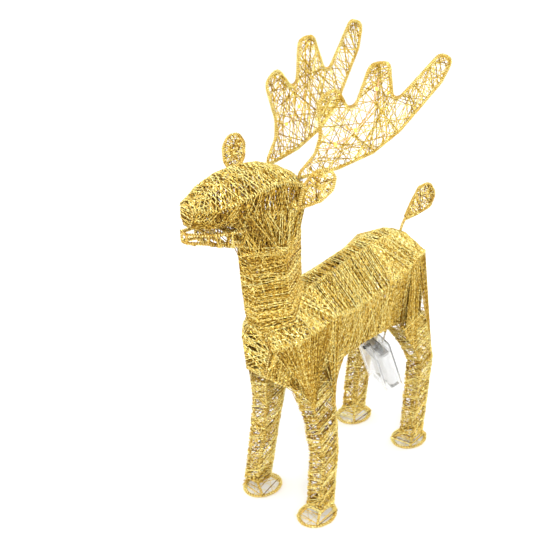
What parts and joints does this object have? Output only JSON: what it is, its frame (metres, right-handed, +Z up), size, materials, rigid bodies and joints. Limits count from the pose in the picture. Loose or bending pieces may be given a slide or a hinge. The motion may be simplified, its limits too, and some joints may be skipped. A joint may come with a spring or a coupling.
{
  "type": "light up yard reindeer",
  "caption": "Standing wire-frame reindeer wound with glitter cord, with plug-in antlers, an LED string and a hanging battery box.",
  "frame": {"origin": "middle of the bounding box in X and Y, on the ground under the feet", "axes": "+Z up; the body looks along -Y; +X is the deer's left"},
  "size_m": [0.1874, 0.4637, 0.6016],
  "materials": {
    "frame_wire": "gold paint, satin",
    "hoof_wire": "gold paint, satin",
    "glitter_cord": "champagne gold glitter cord",
    "antler_cord": "champagne gold glitter cord",
    "socket_tube": "gold paint",
    "post_steel": "plain",
    "hanger_steel": "gold paint",
    "copper_wire": "bare, lacquered",
    "led_resin": "clear warm-white resin, emissive",
    "clear_plastic": "clear",
    "board": "solder-masked board",
    "switch_metal": "plated",
    "black_plastic": "fine grain",
    "cell_sleeve": "plain pale sleeve, no mark",
    "contact_metal": "nickel plate",
    "lead_jacket": "clear twin lead"
  },
  "bodies": {
    "reindeer": {"torso_frame": "frame_wire", "torso_winding": "glitter_cord", "neck_frame": "frame_wire", "neck_winding": "glitter_cord", "head_frame": "frame_wire", "head_winding": "glitter_cord", "jaw_frame": "frame_wire", "jaw_winding": "glitter_cord", "ear_left_frame": "frame_wire", "ear_left_winding": "glitter_cord", "ear_right_frame": "frame_wire", "ear_right_winding": "glitter_cord", "tail_frame": "frame_wire", "tail_winding": "glitter_cord", "leg_frame_front_left": "frame_wire", "leg_winding_front_left": "glitter_cord", "hoof_loop_front_left": "hoof_wire", "leg_frame_front_right": "frame_wire", "leg_winding_front_right": "glitter_cord", "hoof_loop_front_right": "hoof_wire", "leg_frame_hind_left": "frame_wire", "leg_winding_hind_left": "glitter_cord", "hoof_loop_hind_left": "hoof_wire", "leg_frame_hind_right": "frame_wire", "leg_winding_hind_right": "glitter_cord", "hoof_loop_hind_right": "hoof_wire", "antler_socket_left": "socket_tube", "antler_socket_right": "socket_tube", "hanger_wire": "hanger_steel", "led_string": "copper_wire", "led_beads": "led_resin"},
    "antler_left": {"antler_post_left": "post_steel", "antler_frame_left": "frame_wire", "antler_winding_left": "antler_cord", "antler_string_left": "copper_wire", "antler_beads_left": "led_resin"},
    "antler_right": {"antler_post_right": "post_steel", "antler_frame_right": "frame_wire", "antler_winding_right": "antler_cord", "antler_string_right": "copper_wire", "antler_beads_right": "led_resin"},
    "battery_box": {"battery_case": "clear_plastic", "switch_bay_lid": "clear_plastic", "circuit_board": "board", "switch_housing": "switch_metal", "battery_cell_1": "cell_sleeve", "battery_cell_2": "cell_sleeve", "battery_cell_3": "cell_sleeve", "contact_plates": "contact_metal", "contact_springs": "contact_metal", "hanging_tab": "clear_plastic", "battery_lead": "lead_jacket", "lead_gland": "black_plastic"},
    "battery_cover": {"battery_cover": "clear_plastic"},
    "switch_knob": {"switch_knob": "black_plastic"}
  },
  "joints": [
    {"name": "antler_left_pull", "type": "slide", "parent": "reindeer", "child": "antler_left", "axis": [0.1241, -0.0403, 0.9915], "range_m": [0, 0.03]},
    {"name": "antler_right_pull", "type": "slide", "parent": "reindeer", "child": "antler_right", "axis": [-0.1304, 0.0028, 0.9915], "range_m": [0, 0.03]},
    {"name": "battery_box_swing", "type": "hinge", "parent": "reindeer", "child": "battery_box", "pos_m": [0.02511, 0.0928, 0.203], "axis": [0.9026, -0.4305, 0], "range_deg": [-12, 12]},
    {"name": "battery_cover_slide", "type": "slide", "parent": "battery_box", "child": "battery_cover", "axis": [0.1585, 0.3323, -0.9298], "range_m": [0, 0.058]},
    {"name": "switch_slide", "type": "slide", "parent": "battery_box", "child": "switch_knob", "axis": [0.9026, -0.4305, 0], "range_m": [0, 0.004]}
  ]
}
